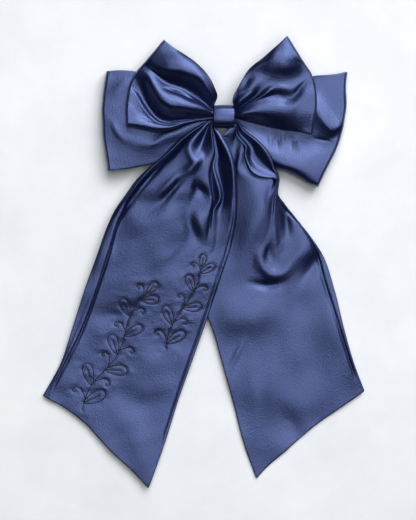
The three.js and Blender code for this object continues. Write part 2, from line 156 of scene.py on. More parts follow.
def reach(points, neck):
    """How far along a fold line each point is: 0 at its start and 1 at its end."""
    r = np.hypot(points[:, 0] - neck[0], points[:, 1] - neck[1])
    r = np.maximum.accumulate(r + np.arange(len(r)) * 1e-4)
    return (r - r[0]) / (r[-1] - r[0])


def along(line, neck, u):
    """Points at u, from 0 to 1, on the smooth curve through a fold line's points."""
    points = np.array(line, float)
    ts = reach(points, neck)
    return hermite(ts, points, chord_slopes(ts, points), u)


def curve_points(controls, count):
    """count points spread evenly on the smooth curve through the controls."""
    points = np.array(controls, float)
    ts = run(np.linalg.norm(np.diff(points, axis=0), axis=1))
    ts /= ts[-1]
    return hermite(ts, points, chord_slopes(ts, points), np.linspace(0, 1, count))


def across(columns):
    """Fills in the cloth between fold lines. columns[k, i] is fold line k at its step i."""
    ts = np.arange(len(columns), dtype=float)
    t = np.linspace(0, len(columns) - 1, (len(columns) - 1) * ROWS_PER_FOLD + 1)
    slopes = chord_slopes(ts, columns)
    slopes[..., 2] = level_slopes(ts, columns[..., 2])
    return hermite(ts, columns, slopes, t)


def neighbours(g):
    """The mean of the four points about each inner point."""
    return (g[:-2, 1:-1] + g[2:, 1:-1] + g[1:-1, :-2] + g[1:-1, 2:]) / 4


def relax(grid, rounds):
    """Evens the cloth out a little, with its four edges kept as curves."""
    g = grid.copy()
    for _ in range(rounds):
        inner = neighbours(g)
        for row in (0, -1):
            g[row, 1:-1] += 0.5 * ((g[row, :-2] + g[row, 2:]) / 2 - g[row, 1:-1])
        g[1:-1, 1:-1] += 0.5 * (inner - g[1:-1, 1:-1])
    return g


def soften(z, rounds):
    """Evens out heights only, so that crests and valleys are round."""
    z = z.copy()
    for _ in range(rounds):
        z[1:-1, 1:-1] += 0.5 * (neighbours(z) - z[1:-1, 1:-1])
    return z


def flow(z, rounds):
    """Evens out heights along each line, away from the gathered end, so that folds run cleanly."""
    even = z.copy()
    for _ in range(rounds):
        even[:, 1:-1] += 0.25 * (even[:, :-2] + even[:, 2:] - 2 * even[:, 1:-1])
    return z + (even - z) * smooth(0.04, 0.25, np.linspace(0, 1, z.shape[1]))[None]


def surface_normals(grid):
    return unit(np.cross(np.gradient(grid, axis=1), np.gradient(grid, axis=0)))


def seen(grid):
    """Outlines are as the camera sees them: draws points in towards its axis by their height."""
    g = grid.copy()
    level = SCALE_HEIGHT / MM
    shrink = 1 - (g[..., 2:] - level) / (CAMERA_HEIGHT / MM - level)
    centre = np.array([camera.location.x, camera.location.y]) / MM
    g[..., :2] = centre + (g[..., :2] - centre) * shrink
    return g


def from_knot(grid):
    """Each point's distance from the knot, seen from above."""
    return np.hypot(grid[..., 0], grid[..., 1])


def half_thickness(grid, at_knot, gain, near, far):
    return at_knot + gain * smooth(near, far, from_knot(grid))


def ripple(grid, seed, height, shortest, longest):
    """Small soft unevenness in the cloth, as a sum of long waves."""
    rng = np.random.default_rng(seed)
    total = np.zeros(grid.shape[:2])
    for _ in range(RIPPLE_WAVES):
        length = rng.uniform(shortest, longest)
        turn = rng.uniform(0, math.pi)
        phase = rng.uniform(0, 2 * math.pi)
        k = 2 * math.pi / length
        wobble = 0.8 * np.sin(grid[..., 1] / longest * 3 + phase)
        ahead = grid[..., 0] * math.cos(turn) + grid[..., 1] * math.sin(turn)
        total += np.sin(k * ahead + phase + wobble)
    return total * height / math.sqrt(RIPPLE_WAVES)


def path_distance(x, y, path):
    """Distance of points from a polyline, and how far along it (0 to 1) the nearest place is."""
    steps = np.diff(path, axis=0)
    lengths = np.hypot(*steps.T)
    starts = run(lengths)
    best, place = np.full(x.shape, 1e9), np.zeros(x.shape)
    for (x0, y0), (dx, dy), length, start in zip(path[:-1], steps, lengths, starts):
        t = np.clip(((x - x0) * dx + (y - y0) * dy) / length ** 2, 0, 1)
        d = np.hypot(x - x0 - t * dx, y - y0 - t * dy)
        near = d < best
        best = np.where(near, d, best)
        place = np.where(near, (start + t * length) / starts[-1], place)
    return best, place


def stroke(grid, controls, width, height, ends=0.5, mask=1):
    """A soft ridge (height above 0) or groove (below 0) pressed into the cloth along a curve."""
    d, place = path_distance(grid[..., 0], grid[..., 1], curve_points(controls, CURVE_POINTS))
    taper = smooth(0, ends, place) * smooth(0, ends, 1 - place)
    grid[..., 2] += height * np.exp(-((d / width) ** 2)) * taper * mask


# ---- meshes ----
def add_mesh(name, verts, faces, uvs=None):
    mesh = bpy.data.meshes.new(name)
    mesh.from_pydata([tuple(v) for v in (verts * MM).tolist()], [], faces)
    mesh.validate()
    for p in mesh.polygons:
        p.use_smooth = True
    if uvs is not None:
        layer = mesh.uv_layers.new(name="cloth")
        corners = np.zeros(len(mesh.loops), np.int32)
        mesh.loops.foreach_get("vertex_index", corners)
        layer.data.foreach_set("uv", np.asarray(uvs, np.float32)[corners].ravel())
    mesh.update()
    obj = bpy.data.objects.new(name, mesh)
    scene.collection.objects.link(obj)
    return obj


def quads(index, flip=False):
    """The faces between the vertices numbered in a grid."""
    a, b, c, d = index[:-1, :-1], index[:-1, 1:], index[1:, 1:], index[1:, :-1]
    return np.stack([a, d, c, b] if flip else [a, b, c, d], axis=-1).reshape(-1, 4).tolist()


def wrapped(count, around):
    """The vertex numbers of count rings, each closed on its first vertex."""
    index = np.arange(count * around).reshape(count, around)
    return np.concatenate([index, index[:, :1]], axis=1)


def flat_places(grid):
    """Where each point of a grid lies on the cloth laid flat, in metres."""
    down = run(np.linalg.norm(np.diff(grid, axis=0), axis=2).mean(1))
    over = run(np.linalg.norm(np.diff(grid, axis=1), axis=2).mean(0))
    return np.stack(np.broadcast_arrays(down[:, None], over[None]), axis=-1).reshape(-1, 2) * MM


def shell(name, grid, half):
    """One closed sheet of cloth about a surface: two faces and a rounded edge. half is half its thickness."""
    rows, cols = grid.shape[:2]
    total = rows * cols

    def edge_of(g):
        return np.concatenate([g[0, :-1], g[:-1, -1], g[-1, :0:-1], g[:0:-1, 0]])

    index = np.arange(total).reshape(rows, cols)
    inner = index.copy()
    inner[0], inner[-1] = index[1], index[-2]
    inner[:, 0], inner[:, -1] = inner[:, 1].copy(), inner[:, -2].copy()
    ring, inward = edge_of(index), edge_of(inner)
    points, normals = grid.reshape(-1, 3), surface_normals(grid).reshape(-1, 3)
    half = half.reshape(-1, 1)
    edge, up = points[ring], normals[ring]
    out = edge - points[inward]
    for axis in (unit(np.roll(edge, -1, axis=0) - np.roll(edge, 1, axis=0)), up):
        out -= axis * (out * axis).sum(1, keepdims=True)
    out = unit(out)
    verts = [points + normals * half, points - normals * half]
    for k in range(1, RIM_STEPS + 1):
        a = math.pi * k / (RIM_STEPS + 1)
        verts.append(edge + half[ring] * (up * math.cos(a) + out * math.sin(a)))
    count = len(ring)
    rim = [2 * total + k * count + np.arange(count) for k in range(RIM_STEPS)]
    rings = [ring] + rim + [ring + total]
    faces = quads(index) + quads(index + total, flip=True)
    for lower, upper in zip(rings[:-1], rings[1:]):
        sides = [lower, upper, np.roll(upper, -1), np.roll(lower, -1)]
        faces += np.stack(sides, axis=-1).tolist()
    uv = flat_places(grid)
    return add_mesh(name, np.concatenate(verts), faces, np.concatenate([uv, uv] + [uv[ring]] * RIM_STEPS))


def tube(p, radius, sides, twist, lay):
    """Vertices and faces of a closed round thread along the points p, with a rope-like lay."""
    t = unit(np.gradient(p, axis=0))
    a = unit(np.cross(t, [0.0, 0.0, 1.0]))
    b = np.cross(a, t)
    s = run(np.linalg.norm(np.diff(p, axis=0), axis=1))
    verts = []
    for k in range(sides):
        angle = 2 * math.pi * k / sides
        swell = 1 + lay * np.sin(2 * math.pi * s / twist + angle)
        verts.append(p + (radius * swell)[:, None] * (a * math.cos(angle) + b * math.sin(angle)))
    index = wrapped(len(p), sides)
    faces = quads(index) + [index[0, :-1].tolist(), index[-1, :-1][::-1].tolist()]
    return np.stack(verts, axis=1).reshape(-1, 3), faces


def joined(name, parts):
    verts, faces, start = [], [], 0
    for v, f in parts:
        verts.append(v)
        faces += [[i + start for i in face] for face in f]
        start += len(v)
    return add_mesh(name, np.concatenate(verts), faces)


# ---- loops: fold lines from the knot out to the folded end, and from the lower edge to the upper ----
FRONT_LEFT = [
    [(-8.6, -2.2, 17.8), (-20, -3.4, 18), (-31, -5.8, 18), (-42, -10.4, 17.6), (-52, -12.4, 17.2),
     (-64, -11, 17.2), (-77.4, -8, 18.2)],
    [(-8.6, -2, 18.5), (-20, -3.2, 19), (-31, -5.6, 20.4), (-42, -9.2, 22), (-52, -10.2, 23.2),
     (-64, -8.2, 24.6), (-78, -6, 25.4)],
    [(-8.6, -1.9, 18.4), (-30, -5, 20.4), (-46, -8.2, 22), (-58, -5.6, 22.8), (-68, -1, 23.8),
     (-78.3, 5, 24.6)],
    [(-8.6, -1.7, 18.2), (-30, -4.7, 19.6), (-44, -7.4, 20.8), (-54, -6, 21.4), (-61, -1.4, 22),
     (-67, 6, 22.6), (-71.5, 13, 22.8), (-76.8, 18, 23.4)],
    [(-8.6, -1.5, 18.6), (-25, -3.6, 20), (-38, -5.6, 21.2), (-46, -6.6, 21.8), (-53.6, -4.6, 22.2),
     (-60, 1, 22.8), (-65.8, 8.6, 23.2), (-70.6, 16.5, 23.2), (-76, 21, 23)],
    [(-8.6, -1.2, 17.8), (-25, -2.5, 18), (-38, -4, 18), (-46, -5, 18.2), (-52.8, -2.4, 18.6),
     (-58.8, 3.8, 19), (-64.4, 11.4, 19.4), (-69.5, 19.6, 20.6), (-75, 25, 22)],
    [(-8.6, 0.2, 19), (-16, 0.8, 20.6), (-26, 1.4, 22.4), (-36, 2, 23.6), (-45, 2.4, 24), (-52.6, 6.4, 23.6),
     (-58.6, 14, 22.8), (-65, 24, 21.8), (-73, 30, 22.2)],
    [(-8.6, 1.8, 20.8), (-16, 4, 24.6), (-25, 6.2, 28.4), (-34, 8, 30.6), (-44, 10, 31.6), (-52.2, 16, 30.8),
     (-57.4, 24.2, 29), (-63.5, 33.5, 26), (-69, 36, 23.6)],
    [(-8.6, 3.4, 20.4), (-16, 8, 23.2), (-24, 12.4, 25.4), (-33, 16.4, 26.8), (-42, 18.8, 27.4),
     (-49, 23.4, 27), (-54.5, 29, 26.4), (-60.5, 35.6, 25.2), (-66.5, 39, 24)],
    [(-8.6, 4.4, 19.6), (-15, 9.2, 19.6), (-22, 14.4, 20.4), (-30, 19.6, 21.4), (-41, 24, 22.8),
     (-50, 29.5, 24), (-57, 36, 24.8), (-64, 42, 24.8)],
    [(-8.6, 5.4, 20), (-11.6, 12, 22), (-17, 19.4, 24), (-25.6, 26, 26), (-38, 31, 27.8), (-49, 34.4, 28.2),
     (-57, 39, 27), (-62.4, 43.6, 25.6)],
    [(-8.5, 6.4, 21.2), (-9.8, 12, 26), (-12.8, 20, 30), (-20.4, 31, 32.6), (-32.5, 37, 33.6),
     (-45, 39.4, 32.2), (-54, 42.4, 29.4), (-60.2, 46.4, 26.8)],
    [(-8.5, 7, 20.9), (-8, 12.5, 26.2), (-10.4, 21, 29.5), (-17.2, 33.4, 31), (-28, 43, 31), (-40, 48, 30),
     (-49.4, 50, 28.4), (-55, 52.5, 27)],
    [(-8.6, 7.4, 20.8), (-5.6, 14, 25.4), (-7.6, 22, 28.4), (-13.2, 32.5, 29.4), (-21, 41, 29),
     (-31, 48.5, 28.2), (-40, 54, 27.2), (-48.2, 60.6, 25.8)],
]
BACK_LEFT = [
    [(-8.6, -6, 12), (-20, -17, 12.3), (-33, -27, 12.5), (-48, -35, 12), (-60, -38.2, 11.6), (-78, -42, 11.6),
     (-92.6, -43.4, 12)],
    [(-8.6, -5.4, 12), (-20, -13, 12.8), (-35, -21, 13.2), (-50, -28, 13.4), (-65, -31, 13.2),
     (-80, -31, 12.8), (-94.2, -31, 12.8)],
    [(-8.6, -4.6, 12.4), (-18, -8.5, 13.4), (-30, -14, 14.2), (-45, -20, 14.8), (-58, -25, 14.6),
     (-72, -25, 14), (-86, -21, 13.4), (-96, -20, 12.8)],
    [(-8.6, -3.4, 13.4), (-17.6, -4.2, 14.6), (-27.8, -7.6, 15.4), (-36.7, -12, 16.1), (-48.2, -16, 16.5),
     (-57.1, -21, 16.2), (-67.3, -20.4, 15.8), (-76.9, -18, 15.2), (-85, -13, 14.5), (-91, -6, 13.6),
     (-97.2, 0, 13)],
    [(-8.6, -2.4, 12.8), (-20, -1, 12.4), (-32, -4, 12.8), (-45, -9, 13.2), (-58, -12, 13.4),
     (-69, -12, 13.4), (-79, -8.5, 13.2), (-89, 1, 13), (-97.2, 9, 12.8)],
    [(-8.6, 0, 12.6), (-40, 8, 13), (-65, 12, 13.4), (-80, 14, 13.2), (-90, 18, 13), (-96, 20, 12.8)],
    [(-8.6, 3, 12.6), (-40, 16, 13), (-65, 24, 13.2), (-82, 28.5, 13.2), (-91, 29.5, 13.2),
     (-94.6, 30, 13.2)],
    [(-8.6, 5, 12.6), (-30, 18, 12.8), (-55, 31, 12.8), (-75, 35.8, 12.8), (-86, 36.2, 12.8),
     (-93.8, 35.6, 12.8)],
]
FRONT_RIGHT = [
    [(8.6, -2.2, 18.4), (24, -5.5, 18.6), (40, -9.5, 19), (52, -11.5, 20), (62, -12.6, 21.8),
     (70.3, -14.6, 23)],
    [(8.6, -1.4, 19), (13, -1.6, 20.4), (24, -2, 21.4), (40, -3.6, 22.8), (52, -4.4, 24), (63, -3.6, 24.8),
     (72.4, -3, 25.2)],
    [(8.6, -0.8, 19.8), (11, -0.5, 22.2), (15, -0.2, 23.8), (22, 0.6, 24.8), (30, 1.4, 25.4), (41, 1.8, 25.9),
     (50, 1.4, 26.2), (60, 3.6, 26.4), (73.8, 6, 26.4)],
    [(8.6, 0.4, 20.4), (10.4, 0.8, 23.4), (13, 1.5, 25.4), (16, 2.4, 26.2), (22, 4.4, 26.5), (30, 6.6, 26.7),
     (38, 7.8, 26.9), (44, 7.6, 27), (50, 6.8, 27.1), (56, 8.4, 27.1), (61.4, 13, 26.9), (66, 17.4, 26.7),
     (74, 16, 26.5)],
    [(8.6, 2.6, 20.2), (10.6, 3.4, 22.6), (13, 4.4, 24.1), (16, 6, 24.5), (22, 9, 24.3), (30, 12.4, 24.1),
     (38, 14, 24), (44, 13.8, 24), (50, 12.6, 24.2), (55, 13.8, 24.6), (59.4, 17.8, 25), (63, 22.6, 25.4),
     (67, 24.6, 25.7), (72.8, 24, 26)],
    [(8.6, 2.9, 20.2), (10.8, 3.9, 22.4), (14, 5.6, 23.7), (20, 9.2, 23.9), (26, 12.2, 23.8), (32, 14.8, 24),
     (37, 16.8, 24.2), (43, 17.6, 24.3), (50, 16.4, 24.5), (56, 17.8, 24.8), (60.6, 22.6, 25.2),
     (66, 27, 25.6), (72, 27.4, 25.8)],
    [(8.6, 3.2, 20.2), (11, 4.5, 22.2), (14, 5.9, 23.4), (20, 9.8, 24.3), (25, 12.6, 25.1), (29, 14.8, 26),
     (33, 17.6, 26.8), (36.8, 20.8, 27.3), (41, 22.9, 27.4), (46, 23, 27.3), (51, 22.2, 26.9),
     (56, 22.8, 26.5), (60.2, 26, 26.2), (65, 29.4, 25.9), (71, 30.4, 25.8)],
    [(8.6, 3.8, 19.6), (13, 7.2, 20.6), (18, 10.8, 21.4), (23, 14.4, 22.2), (27.5, 18, 23.4),
     (31.5, 21.4, 24.6), (36.5, 25, 25.5), (43, 26.6, 25.9), (50, 26.2, 25.9), (55.6, 27.6, 25.9),
     (60.6, 31, 25.8), (65.5, 33.6, 25.8), (69.2, 34.6, 25.8)],
    [(8.5, 5.2, 20.6), (9.6, 7, 23.4), (11.4, 9.4, 25.7), (14.6, 12.6, 26.8), (18.6, 15.6, 27),
     (21.6, 19.6, 26.9), (25, 25.6, 26.6), (30.4, 30, 26.2), (37, 32.2, 27), (45, 33, 28), (53, 33.6, 27.7),
     (59.6, 36.4, 26.9), (64, 38.4, 26.5), (67, 38, 26.2)],
    [(8.4, 6, 20.6), (9.1, 9.4, 23.2), (10.4, 12.5, 24.8), (12.6, 16.4, 25.5), (15.8, 21.6, 25.4),
     (19.5, 27.4, 25), (24, 33, 24.9), (30, 36.8, 27), (38, 38.6, 29.7), (46, 39.4, 31.2), (53.6, 40.4, 30.4),
     (59.4, 42.4, 28.8), (62, 43.6, 27.8), (64.6, 41.6, 27)],
    [(8.2, 6.8, 20.6), (8, 10.5, 22.8), (8.9, 15, 24), (11, 20, 24.6), (15.6, 28.6, 24.7), (22, 36, 25.2),
     (29.6, 41.4, 28.4), (37.4, 45, 31), (45.6, 47.4, 32.4), (52.6, 48.6, 31.8), (57, 49.6, 30),
     (59.4, 49.6, 29)],
    [(8.6, 7.4, 20.6), (6.9, 11, 22.6), (7.4, 14.5, 24), (12.5, 24, 24.4), (20.4, 37.3, 25), (31, 46, 27),
     (42, 55.5, 29.4), (50.8, 63.4, 29)],
]
BACK_RIGHT = [
    [(8.6, -6, 11.6), (22, -22, 9.8), (36, -36, 8.6), (42, -41.5, 8), (52, -45.2, 7.6), (62, -50.3, 7.4),
     (70, -55, 7.4), (74.6, -56, 8.4)],
    [(8.6, -5.9, 12), (22, -20.8, 12), (36, -34.6, 12.4), (42.6, -39.6, 12.6), (53, -43.2, 12.6),
     (63, -47.8, 12.4), (71, -52.6, 12.2), (76, -54, 12)],
    [(8.6, -5.8, 12.4), (24, -18.5, 13), (38, -31, 13.8), (48, -37, 14.4), (60, -40, 14.4), (72, -43, 13.8),
     (80.4, -45, 12.8)],
    [(8.6, -5.2, 12), (24, -15, 12.4), (38, -25, 12.8), (50, -29.5, 13), (62, -31.5, 13), (76, -31, 12.8),
     (86.4, -33, 12.4)],
    [(8.6, -4.6, 11.8), (24, -11.4, 11.4), (38, -17, 10.8), (50, -20, 10.4), (62, -21.5, 10.2),
     (76, -23, 10.4), (90.4, -24, 11.4)],
    [(8.6, -3.8, 12), (24, -8, 11.8), (40, -11.5, 11.6), (54, -14, 11.2), (66, -16, 10.6), (78, -18.5, 10.4),
     (92.6, -18, 11.6)],
    [(8.6, -2.4, 12.4), (30, 0, 12.8), (50, 1, 13.2), (64, 1.5, 13.4), (73, -2.4, 15), (80, -8.6, 15),
     (86.4, -13, 14), (95, -10, 12.8)],
    [(8.6, -0.8, 12.4), (35, 6, 12.8), (60, 12, 13.6), (69, 11, 14.6), (74.4, 6, 17), (80.2, -1.4, 17),
     (85.8, -8, 16), (91, -9.6, 14.2), (95.8, -5, 13)],
    [(8.6, 1.4, 12.2), (35, 11.6, 12.4), (60, 20.5, 12.4), (71, 20.4, 12.2), (79.4, 13.8, 12),
     (87, 5.4, 11.8), (92.6, 1.6, 12), (97.4, 8, 12.4)],
    [(8.6, 3.4, 12.4), (35, 17, 12.6), (60, 26.5, 12.4), (74, 28.4, 12.6), (85, 25.5, 13), (92.4, 21.5, 13),
     (97.2, 23, 12.8)],
    [(8.6, 4.6, 12.4), (30, 16, 12.6), (55, 27, 12.8), (72, 31.6, 13), (86, 32.6, 13.2), (93, 33.4, 12.8),
     (98.2, 34.6, 12.4)],
]


def gathered_start(line, side, z):
    """The line's points, after a hidden first one inside the knot."""
    _, y, h = line[0]
    return [(side * LOOP_START_X, y * 0.8, z + (h - z) * 0.8)] + list(line)


def loop_grid(lines, side, neck, start_z, back_z, inset, rounds):
    """The middle surface of a loop: front panel, rounded fold at the outer end, and flat back panel."""
    u = np.linspace(0, 1, LOOP_COLUMNS)
    ribs = np.stack([along(gathered_start(l, side, start_z), neck, u) for l in lines])
    front = relax(across(ribs), 16)
    front[..., 2] = flow(soften(front[..., 2], rounds), 160)
    v = np.linspace(0, 1, len(front))[:, None]
    end = front[:, -1]
    back = (1 - v[..., None]) * front[0][None] + v[..., None] * front[-1][None]
    bow = end - ((1 - v) * end[0] + v * end[-1])
    back = back + bow[:, None, :] * (u[None, :, None] ** 2)
    back[..., 2] = back_z(u, back[..., 0])
    tangent = np.gradient(end, axis=0)
    outward = unit(np.stack([tangent[:, 1], -tangent[:, 0]], axis=1))
    if (outward[len(outward) // 2, 0] > 0) != (side > 0):
        outward = -outward
    for g in (front, back):
        g[..., :2] -= outward[:, None, :] * (inset * u[None, :, None] ** 8)
    middle = (front[:, -1] + back[:, -1]) / 2
    half = (front[:, -1, 2] - back[:, -1, 2]) / 2
    arc = []
    for a in np.linspace(0, math.pi, 13)[1:-1]:
        p = middle.copy()
        p[:, :2] += outward * inset * math.sin(a)
        p[:, 2] += half * math.cos(a)
        arc.append(p)
    return seen(np.concatenate([front, np.stack(arc, axis=1), back[:, ::-1]], axis=1))


def make_loop(name, lines, creases, side, seed, **form):
    """A loop with its creases, pressed into its front panel only, and its ripples."""
    grid = loop_grid(lines, side, **form)
    in_front = (np.arange(grid.shape[1]) < LOOP_COLUMNS)[None, :]
    for controls, width, height in creases:
        stroke(grid, controls, width, height, mask=in_front)
    bumps = ripple(grid, seed, *LOOP_RIPPLE) * smooth(10, 30, from_knot(grid))
    grid = grid + surface_normals(grid) * bumps[..., None]
    return shell(name, grid if side > 0 else grid[::-1], half_thickness(grid, *LOOP_HALF))


def front_back_z(u, x):
    """Height of a front loop's back panel."""
    return np.broadcast_to(17.7 - 3.2 * smooth(0.1, 0.5, u), x.shape)


def back_back_z(u, x):
    """Height of a back loop's back panel: it leaves the barrette and comes down to the floor."""
    return 11.25 - 9.7 * smooth(16, 62, np.abs(x))


# small creases: a curve, its width and its height
FRONT_LEFT_CREASES = [
    ([(-52, 22), (-43, 19), (-34, 16), (-27, 12.4), (-17, 7.4)], 1.4, -1.8),
    ([(-52, 24.4), (-42, 21), (-33, 18.4), (-25, 14.4)], 1.6, 0.8),
    ([(-75, 18), (-68, 3), (-60, -4), (-50, -8)], 2.4, -0.6),
]
FRONT_RIGHT_CREASES = [
    ([(11, 14.4), (15, 16.8), (20, 18), (24, 22)], 1.2, -0.6),
    ([(12, 19), (17, 24), (20, 31)], 2.2, -0.5),
]
BACK_RIGHT_CREASES = [
    ([(36, -12), (37, -20), (37, -28)], 1.5, 0.5),
    ([(41, -12), (42, -21), (44, -32)], 1.4, -0.5),
    ([(46, -11), (47, -19), (47, -27)], 1.6, 0.5),
    ([(52, -13), (54, -22), (55, -31)], 1.8, -0.4),
    ([(59, -15), (60, -23), (62, -31)], 2.0, 0.4),
    ([(68, -17), (78, -19), (89, -21)], 1.2, -0.6),
]
BACK_LEFT_CREASES = [
    ([(-92, 10), (-80, 24), (-66, 27)], 5.0, 0.9),
    ([(-90, -2), (-85, -14), (-76, -22)], 2.0, 0.4),
]

# neck is the point that distances along a loop's fold lines are measured from
front_left = make_loop(
    "front_left_loop_satin", FRONT_LEFT, FRONT_LEFT_CREASES, side=-1, seed=11,
    neck=(-4, 2), start_z=19, back_z=front_back_z, inset=1.3, rounds=20)
front_right = make_loop(
    "front_right_loop_satin", FRONT_RIGHT, FRONT_RIGHT_CREASES, side=1, seed=12,
    neck=(4, 2), start_z=19, back_z=front_back_z, inset=1.3, rounds=14)
back_left = make_loop(
    "back_left_loop_satin", BACK_LEFT, BACK_LEFT_CREASES, side=-1, seed=13,
    neck=(-4, -0.5), start_z=12, back_z=back_back_z, inset=1.4, rounds=44)
back_right = make_loop(
    "back_right_loop_satin", BACK_RIGHT, BACK_RIGHT_CREASES, side=1, seed=14,
    neck=(4, -0.5), start_z=12, back_z=back_back_z, inset=1.4, rounds=36)

# ---- tails: fold lines from the inner edge to the outer one, each with its place on the cut end ----
LEFT_TAIL = [
    ([(-9.4, -5.2, 15.4), (-5, -11.4, 17.2), (-0.8, -17.8, 18), (4.5, -27, 18.6), (8.2, -38, 18.6),
      (9.6, -50, 18), (9.8, -68, 16.5), (9.2, -82, 12), (5, -104, 7), (-3.5, -130, 3.6), (-14, -162, 3.1),
      (-26, -196, 3.1), (-37, -227, 3.1), (-47, -259, 3.1), (-60.5, -296.8, 2.5)], 0),
    ([(-9.4, -5, 16), (-6.2, -12, 17.8), (-2.4, -18.5, 18.8), (2.6, -28, 19.6), (6.2, -38.5, 19.6),
      (7.6, -50, 19), (7.8, -68, 17), (7.2, -82, 12.6), (3, -104, 7.2)], 0.022),
    ([(-9.3, -4.9, 15.8), (-7.5, -13, 16.6), (-4.5, -20, 17), (0, -29, 17.6), (2.8, -39, 17.4),
      (3.8, -50, 17), (3.6, -68, 15.4), (2.4, -82, 11.6), (-2, -104, 6.8)], 0.07),
    ([(-9.2, -4.9, 14.8), (-7.8, -13, 14), (-6, -22, 13.6), (-4.6, -31, 13.4), (-5.5, -40, 13.4),
      (-3.5, -51, 13.4), (-1.2, -61, 13.2), (-1.4, -69, 12.8), (-3.5, -75, 12.4), (-4, -84, 10.4),
      (-6, -104, 6.6)], 0.14),
    ([(-9.3, -4.8, 15.2), (-8.2, -13, 14.2), (-7, -22, 13.8), (-6.6, -31, 13.8), (-8.6, -40, 14.2),
      (-6, -51, 15.8), (-3, -61, 16.6), (-3.6, -68, 16), (-7.5, -73, 14.6), (-9, -82, 12),
      (-10, -104, 7)], 0.21),
    ([(-9.2, -4.8, 15), (-8.9, -13, 14.2), (-8, -22, 13.8), (-7.2, -31, 13.8), (-9.2, -38, 13.8),
      (-10.2, -47, 14), (-9.4, -58, 13.8), (-8, -70, 12.6), (-11, -84, 10.6), (-14, -105, 6.8)], 0.28),
    ([(-9.6, -5, 17.4), (-9.9, -12, 19), (-8.7, -22, 19.6), (-8.4, -30, 19.4), (-10.8, -38, 18.4),
      (-12.2, -48, 18), (-11, -58, 17.8), (-10, -69, 16.6), (-12, -76, 14.6), (-14, -88, 11),
      (-18, -106, 6.8)], 0.36),
    ([(-9.9, -4.9, 16.8), (-11.3, -12, 18), (-11.2, -22, 18.4), (-11.5, -29, 18.8), (-14, -36, 18.7),
      (-16, -47, 18.4), (-16, -58, 17.8), (-16, -70, 15.8), (-18, -82, 12.8), (-22, -104, 7.2)], 0.44),
    ([(-10.2, -4.8, 16.2), (-14, -12, 15.6), (-17.5, -21, 15.2), (-19, -28, 15.8), (-20, -36, 19),
      (-21, -46, 18.8), (-22, -57, 17), (-24, -68, 15.4), (-25.5, -80, 12.2), (-29, -104, 6.8)], 0.53),
    ([(-10.5, -4.7, 17), (-17, -11, 18.4), (-23, -18, 19), (-27.2, -24, 19.6), (-28.4, -32, 19.8),
      (-28.4, -40, 19.6), (-27, -48, 19.2), (-28, -58, 18), (-32, -68, 16.2), (-34, -80, 12.8),
      (-38, -104, 7.2)], 0.62),
    ([(-10.6, -4.6, 17), (-20, -12, 18.2), (-30, -22, 18.4), (-36, -31, 18.6), (-40, -40, 18.4),
      (-41, -50, 18), (-41, -56, 18.4), (-44, -64, 17.4), (-50, -80, 12.6), (-58, -102, 6.8)], 0.73),
    ([(-10.6, -4.5, 16.6), (-22, -12.6, 17.2), (-33.2, -25.4, 17.4), (-41.8, -35, 17.6), (-50.8, -44, 17.6),
      (-59.2, -52, 17.2), (-68, -62.6, 16), (-76, -74.5, 13.5), (-80, -88, 9.6), (-86, -108, 5.6)], 0.86),
    ([(-10.5, -4.3, 15.2), (-21, -11, 14.4), (-33, -21, 14.2), (-43.5, -31, 14), (-53, -40, 14),
      (-62, -49, 13.8), (-70.5, -60.5, 13.6), (-78, -73.5, 12.4), (-84.2, -85.2, 10.2), (-91.4, -106.6, 6.2),
      (-97.7, -127.9, 3.4), (-107.2, -152.4, 2.4), (-121, -184, 2.1), (-133, -210, 2.0),
      (-138.6, -227, 1.9)], None),
    ([(-10.3, -3.9, 17), (-20, -9.2, 18.2), (-33, -18.8, 18.8), (-45, -30.5, 19), (-56, -40, 18.6),
      (-66, -50.5, 18), (-75, -62, 16.5), (-82, -73, 13.6), (-88, -84, 10.4), (-96, -106, 6), (-104, -131, 3),
      (-113, -156, 1.9), (-126, -190, 1.8), (-136.4, -213, 1.8), (-141.6, -225, 1.6)], None),
    ([(-9.8, -3.2, 16.4), (-20, -8.2, 16.8), (-34, -18, 17), (-50, -33.6, 17), (-59, -41, 16.6),
      (-70, -51.5, 15.8), (-79, -64, 14), (-86, -74, 11.6), (-93, -89, 8.4), (-101, -112, 4.4),
      (-110, -137, 2.4), (-120, -168, 1.7), (-131, -200, 1.6), (-138, -213, 1.5), (-144.2, -223.4, 1.3)], 1),
]
LEFT_END = [(-60.5, -296.8), (-72, -284.5), (-90, -268), (-112, -244.5), (-128, -232.5), (-144.2, -223.4)]
